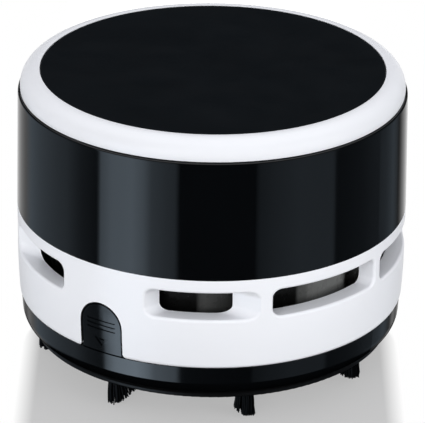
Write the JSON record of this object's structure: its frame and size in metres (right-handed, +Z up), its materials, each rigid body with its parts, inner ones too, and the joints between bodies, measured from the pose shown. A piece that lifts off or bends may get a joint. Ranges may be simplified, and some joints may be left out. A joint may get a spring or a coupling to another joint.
{
  "type": "desktop vacuum cleaner",
  "caption": "Round battery desk vacuum: bristled suction base, vented band with press tabs that release the base, tall sleeve and a twist-off battery lid.",
  "frame": {"origin": "on the body's axis, at the desk that the bristle tips rest on", "axes": "+Z up; -Y towards the front release tab; the slide switch faces +Y"},
  "size_m": [0.0836, 0.0836, 0.0643],
  "materials": {
    "white_shell": "smooth white moulding",
    "base_black": "polished black moulding",
    "sleeve_black": "polished black moulding",
    "disc_black": "satin black inlay",
    "inner_plastic": "dark grey moulding",
    "filter_plastic": "light grey moulding",
    "filter_cloth": "non-woven filter cloth",
    "fan_plastic": "dark moulding",
    "knob_plastic": "light grey moulding with grip grooves",
    "bell_plastic": "natural nylon",
    "bristle": "nylon bristles",
    "screw_steel": "zinc plated",
    "spring_steel": "drawn wire",
    "motor_steel": "drawn can",
    "shaft_steel": "ground",
    "core_steel": "stacked laminations",
    "contact_steel": "nickel plated strip",
    "contact_brass": "bare brass",
    "bush_brass": "sintered bronze",
    "magnet": "ferrite",
    "winding": "enamelled copper wire",
    "cell_wrap": "plain printed wrap",
    "lead_red": "soft insulation",
    "lead_black": "soft insulation"
  },
  "bodies": {
    "base": {"base_shell": "base_black", "bottom_plate": "base_black", "intake_chute": "inner_plastic", "bristle_tufts": "bristle", "base_screws": "screw_steel", "front_tab_spring": "spring_steel", "rear_tab_spring": "spring_steel"},
    "front_release": {"front_tab": "base_black", "front_latch_hooks": "base_black"},
    "rear_release": {"rear_tab": "base_black", "rear_latch_hooks": "base_black"},
    "housing": {"vent_band": "white_shell", "sleeve": "sleeve_black", "motor_deck": "inner_plastic", "fan_shroud": "inner_plastic", "filter_frame": "filter_plastic", "filter_mesh": "filter_cloth", "motor_can": "motor_steel", "motor_end_bell": "bell_plastic", "motor_terminals": "contact_brass", "motor_bushes": "bush_brass", "motor_magnets": "magnet", "motor_brushes": "contact_brass", "motor_screws": "screw_steel", "chassis_screws": "screw_steel", "battery_tray": "inner_plastic", "battery_cell_left": "cell_wrap", "battery_cell_right": "cell_wrap", "positive_contact": "contact_steel", "negative_contact": "contact_steel", "bridge_contact": "contact_steel", "contact_springs": "spring_steel", "switch_case": "inner_plastic", "switch_pins": "contact_brass", "battery_switch_lead": "lead_red", "switch_motor_lead": "lead_red", "battery_motor_lead": "lead_black"},
    "lid": {"battery_lid": "white_shell", "lid_disc": "disc_black"},
    "rotor": {"impeller": "fan_plastic", "motor_shaft": "shaft_steel", "armature_core": "core_steel", "armature_windings": "winding", "commutator": "contact_brass"},
    "switch": {"switch_knob": "knob_plastic", "switch_nib": "knob_plastic"}
  },
  "joints": [
    {"name": "housing_lift", "type": "slide", "parent": "base", "child": "housing", "axis": [0, 0, 1], "range_m": [0, 0.03], "deforming": ["front_latch_hooks", "rear_latch_hooks"]},
    {"name": "front_tab_press", "type": "hinge", "parent": "base", "child": "front_release", "pos_m": [0, -0.037, 0.01015], "axis": [-1, 0, 0], "range_deg": [0, 4], "stiffness_Nm_per_rad": 0.3, "deforming": ["front_tab_spring"]},
    {"name": "rear_tab_press", "type": "hinge", "parent": "base", "child": "rear_release", "pos_m": [0, 0.037, 0.01015], "axis": [1, 0, 0], "range_deg": [0, 4], "stiffness_Nm_per_rad": 0.3, "deforming": ["rear_tab_spring"]},
    {"name": "lid_twist", "type": "hinge", "parent": "housing", "child": "lid", "pos_m": [0, 0, 0.0618], "axis": [0, 0, 1], "range_deg": [0, 25]},
    {"name": "switch_slide", "type": "slide", "parent": "housing", "child": "switch", "axis": [0, 0, 1], "range_m": [0, 0.004]},
    {"name": "fan_spin", "type": "hinge", "parent": "housing", "child": "rotor", "pos_m": [0, 0, 0.0319], "axis": [0, 0, 1], "continuous": true}
  ]
}
